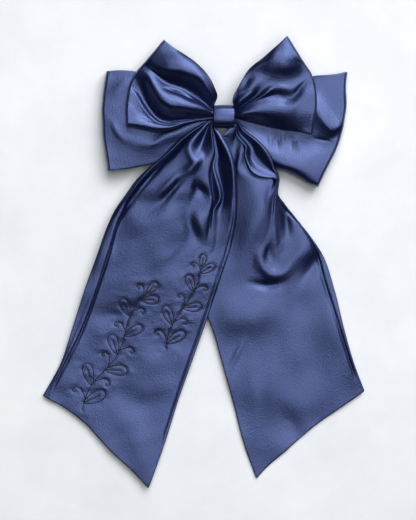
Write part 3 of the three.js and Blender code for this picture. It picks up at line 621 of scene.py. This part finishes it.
RIGHT_TAIL = [
    ([(9.4, -6, 15), (6.6, -8.5, 15.2), (0.2, -16.5, 15), (-6, -30, 14.4), (-12, -55, 13.8), (-16, -85, 8),
      (-17, -110, 3), (-17, -135, 1.2), (-13, -160, 1), (-9, -170, 1), (-2, -194, 1), (8, -230, 1),
      (17, -264, 1), (26.2, -289.2, 1)], 0),
    ([(9.4, -5.9, 15), (8, -12, 14.8), (5, -20, 13.4), (0, -32, 12.8), (-4, -55, 12.4), (-8, -85, 6.5),
      (-8, -112, 2)], 0.07),
    ([(9.4, -5.8, 14.6), (9.4, -13, 13.4), (9.5, -20, 12.4), (8.5, -28, 12), (7, -45, 11.8), (5, -60, 11),
      (4, -85, 6), (2, -112, 1.8)], 0.15),
    ([(9.5, -5.7, 14.8), (10.6, -14, 13.8), (13.5, -22, 13), (13, -30, 13.6), (13, -45, 13.6), (22, -52, 14),
      (27, -61, 14.4), (25, -86, 10.2), (18, -108, 4)], 0.27),
    ([(9.5, -5.6, 15), (9.8, -14, 14.4), (15.2, -22, 13.2), (16.4, -29, 13), (18, -38, 12.4),
      (26, -47.6, 13.6), (34, -48.6, 13.6), (39.6, -50.8, 13.6), (36.2, -60, 13.4), (34, -78, 10.9),
      (29.6, -95, 6.9), (24, -110, 3.4)], 0.37),
    ([(9.5, -5.4, 16.4), (9.3, -13, 16.6), (13.2, -20, 16.8), (17.6, -24.6, 17.2), (16.8, -30, 17.6),
      (18.6, -37.5, 17.8), (24.6, -46.4, 18), (33, -49.4, 18), (41.4, -49.6, 17), (43.2, -52.4, 15.6),
      (40.2, -60.6, 12.8), (38, -78, 10.1), (34.6, -95, 6.4), (28, -108, 3.8)], 0.47),
    ([(9.5, -5.2, 15.6), (11.5, -12.5, 14.6), (17, -20, 14.2), (21.4, -26, 14), (21.4, -31.6, 14),
      (24.4, -37.4, 14.2), (30.6, -41.6, 14.6), (37, -44.6, 15.4), (42.5, -48.2, 15.6), (42.6, -56, 14),
      (41, -66, 12.6), (40.3, -78, 10.6), (40.2, -90, 8), (38, -100, 5.5), (33, -109, 3.4)], 0.58),
    ([(9.6, -5, 15.8), (12.6, -12.3, 14.8), (19, -18.8, 14.4), (24, -25.4, 14.2), (25.5, -31, 14.2),
      (28.5, -35.6, 14.4), (34, -40.4, 15), (39, -44, 15.6), (42.7, -48.3, 16), (42.9, -54, 14.4),
      (41.6, -66, 12.4), (45, -78, 9.4), (50, -92, 6), (54, -106, 3.6)], 0.74),
    ([(9.6, -4.6, 17), (15.2, -11.8, 18.2), (22, -17, 19), (28, -22, 19.2), (33, -27.5, 19), (36, -32, 18.6),
      (38.3, -37, 17.8), (39.4, -41.6, 16.8), (42, -46, 16.6), (43.2, -48.6, 16.4), (43.4, -52, 15.5),
      (42.4, -58, 14), (41.8, -64, 12.5), (46, -73, 10), (56, -86, 7.2), (66, -100, 4.4)], 0.92),
    ([(9.8, -3.6, 16), (15.8, -11, 16.4), (23, -16.4, 16.4), (29, -21.6, 16.2), (34, -27.4, 16),
      (37, -32, 15.8), (39.4, -37, 15.4), (40.4, -41.4, 15.2), (43.2, -46.5, 15), (44, -49.5, 14.6),
      (43.8, -54, 13.4), (42.6, -62, 12), (47, -69, 10), (56, -80.5, 7.6), (69.6, -98, 4), (79, -113, 2),
      (87, -137, 1.1), (95.7, -172, 1), (103, -197, 1), (111.7, -219.6, 1)], 1),
]
RIGHT_END = [(26.2, -289.2), (35, -279.5), (44, -272), (62, -256), (78, -243), (96, -231), (111.7, -219.6)]


def tail_grid(folds, end, side, neck, settle):
    """The middle surface of a tail. Folds that fade out carry on to their place on the cut end."""
    x0, y0, z0 = TAIL_START
    lines = []
    for points, _ in folds:
        _, y, h = points[0]
        lines.append([(side * x0, y0 + (y - y0) * 0.6, z0 + (h - z0) * 0.5)] + list(points))
    inner, outer = lines[0], lines[-1]
    edge = curve_points(end, CUT_END_POINTS)
    for line, (_, v) in zip(lines, folds):
        if v in (None, 0, 1):
            continue
        i = int(v * (len(edge) - 1))
        on_end = edge[i] + (edge[min(i + 1, len(edge) - 1)] - edge[i]) * (v * (len(edge) - 1) - i)
        bow = on_end - ((1 - v) * edge[0] + v * edge[-1])
        for u in settle:
            here = np.array([u])
            p = (1 - v) * along(inner, neck, here)[0] + v * along(outer, neck, here)[0]
            p[:2] += bow * u ** 3
            line.append(tuple(p))
    u = np.linspace(0, 1, TAIL_COLUMNS)
    grid = relax(across(np.stack([along(l, neck, u) for l in lines])), 8)
    grid[..., 2] = flow(grid[..., 2], 60)
    return seen(grid)


left_grid = tail_grid(LEFT_TAIL, LEFT_END, -1, (-6, -4.2), (0.52, 0.64, 0.76, 0.88, 1.0))
right_grid = tail_grid(RIGHT_TAIL, RIGHT_END, 1, (6, -4.2), (0.56, 0.68, 0.79, 0.9, 1.0))

# how much higher each tail lies at a given y, so that it comes down gently
LEFT_TAIL_LIFT = [
    (-300, 2.6), (-270, 2.1), (-235, 1.4), (-200, 2.1), (-162, 4.2), (-130, 6), (-104, 4.9), (-82, 2.2),
    (-68, -0.3), (-58, 0), (0, 0),
]
RIGHT_TAIL_LIFT = [
    (-300, 0.2), (-270, 0.7), (-235, 1.5), (-200, 2.4), (-162, 3.5), (-130, 4.9), (-104, 4.9), (-85, 2.7),
    (-68, 1), (-55, 0), (0, 0),
]
LEFT_TAIL_CREASES = [
    ([(-27, -43.5), (-35, -52), (-43, -61), (-57, -76)], 2.6, -2.2),
    ([(-29, -41), (-38, -49.6), (-47, -59), (-60, -72)], 2.8, 1.3),
    ([(-34, -70), (-29, -84), (-22, -98), (-14, -110)], 4.4, -0.8),
    ([(-28, -64), (-21, -82), (-13, -98), (-6, -110)], 4.6, 0.8),
    ([(-13, -16), (-17, -28), (-23, -39), (-31, -47), (-36, -57)], 3.4, 1.7),
    ([(-78, -78), (-64, -84), (-44, -80), (-30, -66)], 9, 1.1),
    ([(-92, -107), (-64, -102), (-40, -99), (-16, -100)], 17, 1.7),
    ([(-122, -148), (-96, -160), (-70, -158), (-50, -150)], 9, -1.1),
    ([(-100, -220), (-70, -232), (-48, -240), (-26, -244)], 13, -1.3),
    ([(-30, -24), (-27, -30), (-25, -36), (-22, -43)], 2.4, 1.0),
    ([(-27, -53), (-22, -57), (-16, -62), (-10, -68)], 4.4, -1.8),
    ([(-41, -32), (-54.6, -45.8), (-71.6, -66), (-83.6, -83), (-90.4, -105), (-97.2, -126), (-109, -160),
      (-121, -187), (-131.3, -206), (-139, -223)], 0.9, -0.9),
    ([(7.6, -60), (6.8, -82), (1, -106), (-7, -134), (-17, -164), (-29, -198), (-40, -230),
      (-52, -266)], 0.7, -0.4),
]
RIGHT_TAIL_CREASES = [
    ([(41, -84), (41.2, -98), (42, -110), (43.4, -121)], 1.4, 0.8),
    ([(37, -100), (35.6, -107), (35.6, -114), (38, -120)], 2.0, -1.0),
    ([(28, -98), (28.6, -110), (31.6, -120), (38.5, -126.6), (46, -126.6), (52.6, -121),
      (59, -113)], 5.0, 2.2),
    ([(42, -126), (54, -116), (65, -108), (77, -101)], 6.5, 1.2),
    ([(14, -132), (24, -134), (34, -136), (43, -134), (50, -129)], 3.6, -1.6),
    ([(34, -54), (34, -72), (33, -90), (29, -108)], 5.5, 0.8),
    ([(46, -64), (49, -78), (50.5, -90), (50, -104)], 3.6, -1.5),
    ([(80, -100), (73, -116), (66, -128), (56, -144)], 5.5, -1.3),
    ([(-14, -168), (10, -162), (32, -160), (60, -166)], 15, 2.6),
    ([(20, -171), (13, -186), (8, -196), (1, -210)], 2.4, 0.5),
    ([(42.6, -64), (47.5, -72.5), (60.8, -86.5), (73, -107), (81, -134), (90, -162), (98.6, -189),
      (107, -214)], 0.9, -1.2),
    ([(74, -118), (88, -155), (98, -195), (102, -235)], 17, 3.0),
    ([(16, -170), (24, -200), (29, -230), (30, -262)], 9, 1.1),
    ([(30, -216), (46, -240), (56, -256), (60, -276)], 10, -1.2),
]


def finish_tail(name, grid, side, seed, lift, creases):
    """A tail with its lift, creases and ripples."""
    ys, rise = np.array(lift, float).T
    lifted = hermite(ys, rise, chord_slopes(ys, rise), grid[..., 1].ravel())
    grid[..., 2] += lifted.reshape(grid.shape[:2])
    for controls, width, height in creases:
        hem = width < 1
        stroke(grid, controls, width, height, ends=0.08 if hem else 0.5)
    grid[..., 2] += ripple(grid, seed, *TAIL_RIPPLE) * smooth(20, 60, from_knot(grid))
    grid[..., 2] = np.maximum(grid[..., 2], FLOOR_CLEARANCE)
    if side < 0:
        pucker(grid, LONG_SPRIG + SHORT_SPRIG, 23)
    return shell(name, grid[::-1] if side > 0 else grid, half_thickness(grid, *TAIL_HALF))


# ---- embroidery: two leafy sprigs in stem stitch ----
def leaf(base, heading, length, width):
    """A leaf's outline, from its stalk round to its stalk again, and its vein."""
    a = np.linspace(0, 2 * math.pi, 44)
    out = length * (1 - np.cos(a)) / 2
    wide = width * np.sin(a) * (0.45 + 0.55 * np.sin(a / 2) ** 2)
    vein = np.linspace(0, 0.72 * length, 16)
    c, s = math.cos(heading), math.sin(heading)
    outline = np.column_stack([base[0] + out * c - wide * s, base[1] + out * s + wide * c])
    middle = np.column_stack([base[0] + vein * c, base[1] + vein * s])
    return [outline, middle]


def curl(base, heading, size, hand):
    """A tendril that winds up into a small spiral."""
    t = np.linspace(0, 1, 46)
    turn = heading + hand * (0.5 * t + 7.2 * t ** 2.2)
    step = size * (1 - 0.82 * t) / 45 * 3.0
    x = base[0] + run(step[:-1] * np.cos(turn[:-1]))
    y = base[1] + run(step[:-1] * np.sin(turn[:-1]))
    return [np.column_stack([x, y])]


def sprig(start, finish, waves, wave, leaves, length):
    """A wavy stem with leaves and tendrils on either side by turns, and a leaf at its tip."""
    start, span = np.array(start, float), np.array(finish, float) - np.array(start, float)
    ahead = span / np.hypot(*span)
    side = np.array([-ahead[1], ahead[0]])
    t = np.linspace(0, 1, 160)
    last = len(t) - 1
    stem = start + span * t[:, None] + side * (wave * np.sin(2 * math.pi * waves * t))[:, None]
    slope = np.gradient(stem, axis=0)
    headings = [math.atan2(dy, dx) for dx, dy in slope]
    paths = [stem]
    for k in range(leaves):
        i = int(last * (0.06 + 0.88 * k / (leaves - 1)))
        hand = 1 if k % 2 else -1
        grown = length * (1 - 0.28 * k / leaves)
        paths += leaf(stem[i], headings[i] + hand * 0.85, grown, grown * 0.30)
        paths += curl(stem[min(i + 5, last)], headings[i] - hand * 0.55, grown * 0.62, -hand)
    paths += leaf(stem[-1], headings[-1], length * 0.62, length * 0.2)
    return paths


def pucker(grid, paths, seed):
    """The cloth drawn down along the stitches, with short ripples about them."""
    x, y = grid[..., 0], grid[..., 1]
    nearest = np.full(x.shape, 1e9)
    for path in paths:
        near = (np.abs(x - path[:, 0].mean()) < 80) & (np.abs(y - path[:, 1].mean()) < 90)
        for px, py in path[::2]:
            nearest[near] = np.minimum(nearest[near], np.hypot(x[near] - px, y[near] - py))
    grid[..., 2] -= PUCKER_DEPTH * np.exp(-((nearest / 1.1) ** 2))
    grid[..., 2] += ripple(grid, seed, *PUCKER_RIPPLE) * np.exp(-((nearest / 7.0) ** 2))


def stitched(name, paths, surface):
    """The stitches as threads laid on the cloth."""
    index = np.arange(surface[..., 0].size).reshape(surface.shape[:2])
    tree = BVHTree.FromPolygons(surface.reshape(-1, 3).tolist(), quads(index))
    parts = []
    for path in paths:
        lengths = run(np.hypot(*np.diff(path, axis=0).T))
        at = np.linspace(0, lengths[-1], max(6, int(lengths[-1] / STITCH_STEP)))
        points = []
        for px, py in zip(np.interp(at, lengths, path[:, 0]), np.interp(at, lengths, path[:, 1])):
            hit = tree.ray_cast((px, py, 60), (0, 0, -1))[0]
            points.append((px, py, hit[2] + THREAD_LIFT))
        ends = np.minimum(1, 0.45 + np.minimum(at, lengths[-1] - at) / 0.9)
        parts.append(tube(np.array(points), THREAD_RADIUS * ends, 8, twist=2.3, lay=0.2))
    return joined(name, parts)


LONG_SPRIG = sprig((-114, -236), (-62, -142), waves=1.5, wave=3.2, leaves=7, length=19)
SHORT_SPRIG = sprig((-47, -186), (-18, -121), waves=1.0, wave=2.6, leaves=5, length=17)
left_tail = finish_tail("left_tail_satin", left_grid, -1, 21, LEFT_TAIL_LIFT, LEFT_TAIL_CREASES)
right_tail = finish_tail("right_tail_satin", right_grid, 1, 22, RIGHT_TAIL_LIFT, RIGHT_TAIL_CREASES)
long_vine = stitched("long_vine_stitches", LONG_SPRIG, left_grid)
short_vine = stitched("short_vine_stitches", SHORT_SPRIG, left_grid)


# ---- knot and waists, each round the box of its CAD node ----
def section(node, spare, power, angles):
    """A rounded square inside a node's box: half length, middle y and z, and y and z round it."""
    low, high = (np.array(corner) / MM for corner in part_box(node))
    half_x, half_y, half_z = (high - low) / 2 - spare
    _, mid_y, mid_z = (high + low) / 2
    c, s = np.cos(angles), np.sin(angles)
    k = 1 / (np.abs(c) ** power + np.abs(s) ** power) ** (1 / power)
    return half_x, mid_y, mid_z, half_y * k * c, half_z * k * s


def make_knot():
    """A soft band wound once round the bows, with a crease along its front."""
    a = np.linspace(0, 2 * math.pi, 160, endpoint=False)
    x = np.linspace(-1, 1, 49)[:, None]
    c, s = np.cos(a), np.sin(a)
    _, mid_y, mid_z, y, z = section("knot_wrap", KNOT_HALF, 2.5, a)
    swell = 0.55 * (1 - np.abs(x) ** 2.5) - KNOT_HALF
    grid = np.zeros((len(x), len(a), 3))
    widening = KNOT_FRONT_HALF_WIDTH - KNOT_BACK_HALF_WIDTH
    grid[..., 0] = x * (KNOT_BACK_HALF_WIDTH + widening * smooth(-0.9, 0.3, s))
    grid[..., 1] = mid_y + y + swell * c
    grid[..., 2] = mid_z + z + swell * s
    from_crease = grid[..., 1] - 2.0 - 0.05 * grid[..., 0]
    grid[..., 2] -= 0.16 * np.exp(-((from_crease / 0.8) ** 2)) * smooth(0.2, 0.7, s)
    return grid


def ring_shell(name, grid, half):
    """A closed ring of cloth with rounded edges: the grid's columns go right round."""
    n = surface_normals(np.concatenate([grid[:, -2:], grid, grid[:, :2]], axis=1))[:, 2:-2]
    rims = []
    for row, inner, eighths in ((-1, -2, (1, 2, 3)), (0, 1, (3, 2, 1))):
        out = unit(grid[row] - grid[inner])
        turns = [k * math.pi / 4 for k in eighths]
        rims.append([grid[row] + half * (n[row] * math.cos(a) + out * math.sin(a)) for a in turns])
    rings = np.concatenate([grid + n * half, rims[0], (grid - n * half)[::-1], rims[1]])
    index = wrapped(*rings.shape[:2])
    index = np.concatenate([index, index[:1]])
    return add_mesh(name, rings.reshape(-1, 3), quads(index), flat_places(rings))


def pleated(name, node, pleats, depth):
    """A bundle of tight pleats, drawn in at its middle."""
    a = np.linspace(0, 2 * math.pi, 96, endpoint=False)
    half, mid_y, mid_z, y, z = section(node, 0.1, 3, a)
    fold = 1 - depth * (0.5 + 0.5 * np.cos(pleats * a))
    verts = []
    for x in np.linspace(-half, half, 9):
        size = fold * (1 - 0.12 * math.cos(x / half * math.pi / 2))
        verts.append(np.stack([np.full_like(a, x), mid_y + y * size, mid_z + z * size], 1))
    index = wrapped(len(verts), len(a))
    faces = quads(index) + [index[0, :-1][::-1].tolist(), index[-1, :-1].tolist()]
    return add_mesh(name, np.concatenate(verts), faces)


knot = ring_shell("knot_satin", make_knot(), KNOT_HALF)
front_waist = pleated("front_waist_satin", "front_bow_waist", 13, 0.16)
back_waist = pleated("back_waist_satin", "back_bow_waist", 17, 0.14)
tail_waist = pleated("tail_waist_satin", "tail_waist", 15, 0.14)


# ---- materials ----
def add_node(tree, kind, source=None, **values):
    """A shader node, fed from source, with these values in its sockets: _ in a name stands for a space."""
    node = tree.nodes.new("ShaderNode" + kind)
    for field, value in values.items():
        node.inputs[field.replace("_", " ")].default_value = value
    if source is not None:
        tree.links.new(source, node.inputs[0])
    return node


def add_mix(tree, factor, first, second):
    mix = tree.nodes.new("ShaderNodeMix")
    mix.data_type = "RGBA"
    mix.inputs[6].default_value, mix.inputs[7].default_value = first, second
    tree.links.new(factor, mix.inputs[0])
    return mix.outputs[2]


def material(name, **values):
    """A new material, its node tree, and its shader with these values in its sockets."""
    m = bpy.data.materials.new(name)
    m.use_nodes = True
    tree = m.node_tree
    tree.nodes.clear()
    out = tree.nodes.new("ShaderNodeOutputMaterial")
    shader = add_node(tree, "BsdfPrincipled", **values)
    tree.links.new(shader.outputs[0], out.inputs[0])
    return m, tree, shader


def satin():
    """Smooth navy satin: yarns that lie along the cloth, faint mottling and a soft gloss."""
    m, tree, shader = material(
        "navy_satin", IOR=2.36, Specular_Tint=(0.43, 0.54, 1.0, 1), Sheen_Weight=0.09,
        Sheen_Roughness=0.4, Sheen_Tint=(0.3, 0.42, 1, 1))
    uv = tree.nodes.new("ShaderNodeUVMap")
    uv.uv_map = "cloth"
    place = tree.nodes.new("ShaderNodeTexCoord").outputs["Object"]
    stretch = add_node(tree, "Mapping", uv.outputs[0], Scale=(3200, 700, 1))
    yarn = add_node(tree, "TexNoise", stretch.outputs[0], Scale=1.0, Detail=2.0)
    cloud = add_node(tree, "TexNoise", place, Scale=900.0, Detail=3.0)
    soft = add_node(tree, "TexNoise", place, Scale=60.0, Detail=2.0)
    colour = add_mix(tree, cloud.outputs[0], (0.0011, 0.0042, 0.029, 1), (0.0017, 0.0056, 0.038, 1))
    tree.links.new(colour, shader.inputs["Base Color"])
    rough = add_node(tree, "MapRange", soft.outputs[0], From_Min=0.3, From_Max=0.7, To_Min=0.32, To_Max=0.38)
    tree.links.new(rough.outputs[0], shader.inputs["Roughness"])
    normal = None
    for height, strength in ((yarn, 0.25), (cloud, 1.0)):
        bump = add_node(tree, "Bump", Strength=strength, Distance=0.0002)
        tree.links.new(height.outputs[0], bump.inputs["Height"])
        if normal is not None:
            tree.links.new(normal, bump.inputs["Normal"])
        normal = bump.outputs[0]
    tree.links.new(normal, shader.inputs["Normal"])
    return m


def steel():
    """Nickel-plated steel, faintly brushed along the bar."""
    m, tree, shader = material("nickel_steel", Base_Color=(0.62, 0.63, 0.65, 1), Metallic=1.0)
    place = tree.nodes.new("ShaderNodeTexCoord").outputs["Object"]
    stretch = add_node(tree, "Mapping", place, Scale=(60, 2500, 2500))
    brush = add_node(tree, "TexNoise", stretch.outputs[0], Scale=1.0)
    rough = add_node(tree, "MapRange", brush.outputs[0], To_Min=0.2, To_Max=0.42)
    tree.links.new(rough.outputs[0], shader.inputs["Roughness"])
    return m


SATIN = satin()
THREAD = material("navy_thread", Base_Color=(0.012, 0.016, 0.05, 1), Roughness=0.55, Sheen_Weight=0.3)[0]
STITCH = material("dark_navy_floss", Base_Color=(0.002, 0.004, 0.012, 1), Roughness=0.5, Sheen_Weight=0.3)[0]
STEEL = steel()


def paint(piece, look):
    piece.data.materials.clear()
    piece.data.materials.append(look)


for piece in (front_left, front_right, back_left, back_right, left_tail, right_tail, knot,
              front_waist, back_waist, tail_waist):
    paint(piece, SATIN)
for name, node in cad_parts.items():
    if name.startswith("barrette"):
        paint(node, STEEL)
    elif name.endswith(("thread", "stitches")):
        paint(node, THREAD)
for piece in (long_vine, short_vine):
    paint(piece, STITCH)

# ---- what moves with what ----
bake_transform(front_left)
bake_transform(front_right)
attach(back_left, "center")
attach(back_right, "center")
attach(knot, "center")
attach(front_waist, "center")
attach(back_waist, "center")
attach(tail_waist, "center")
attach(long_vine, "left_tail")
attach(short_vine, "left_tail")
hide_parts("embroidery_long_vine")
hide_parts("embroidery_short_vine")
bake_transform(left_tail)
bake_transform(right_tail)
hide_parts("front_left_loop")
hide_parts("front_right_loop")
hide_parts("back_left_loop")
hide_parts("back_right_loop")
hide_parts("left_tail")
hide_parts("right_tail")
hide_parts("knot_wrap")
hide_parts("front_bow_waist")
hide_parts("back_bow_waist")
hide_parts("tail_waist")


# ---- floor and light ----
def make_floor():
    mesh = bpy.data.meshes.new("floor")
    far, z = 4.0, -0.0002  # a hair below the lowest part, so that nothing lies in its plane
    mesh.from_pydata([(-far, -far, z), (far, -far, z), (far, far, z), (-far, far, z)], [], [(0, 1, 2, 3)])
    floor = bpy.data.objects.new("floor", mesh)
    scene.collection.objects.link(floor)
    m, tree, shader = material("pale_plaster", Roughness=0.8)
    place = tree.nodes.new("ShaderNodeTexCoord").outputs["Object"]
    cloud = add_node(tree, "TexNoise", place, Scale=14.0, Detail=8.0, Roughness=0.6)
    colour = add_mix(tree, cloud.outputs[0], (0.70, 0.72, 0.75, 1), (0.92, 0.93, 0.95, 1))
    tree.links.new(colour, shader.inputs["Base Color"])
    mesh.materials.append(m)


def area_light(name, place, size, size_y, power):
    """A rectangular light aimed at the bow."""
    light = bpy.data.lights.new(name, "AREA")
    light.energy = power
    light.shape = "RECTANGLE"
    light.size, light.size_y = size, size_y
    obj = bpy.data.objects.new(name, light)
    scene.collection.objects.link(obj)
    obj.location = place
    obj.rotation_euler = (Vector((0, -0.1, 0)) - Vector(place)).to_track_quat("-Z", "Y").to_euler()


make_floor()
area_light("key", (1.1, 2.2, 2.6), 3.4, 2.6, 154)
area_light("overhead", (0.1, -0.05, 3.4), 2.2, 2.2, 52)

# the sky is pale at the horizon and nearly dark overhead
world = bpy.data.worlds.new("world")
scene.world = world
world.use_nodes = True
sky = world.node_tree
place = sky.nodes.new("ShaderNodeTexCoord").outputs["Generated"]
parts = add_node(sky, "SeparateXYZ", place)
fade = add_node(sky, "MapRange", parts.outputs["Z"], From_Min=0.02, From_Max=0.2, To_Min=0.75, To_Max=0.03)
background = sky.nodes["Background"]
background.inputs["Color"].default_value = (0.9, 0.95, 1, 1)
sky.links.new(fade.outputs[0], background.inputs["Strength"])
scene.view_settings.view_transform = "Standard"
scene.view_settings.gamma = 0.8
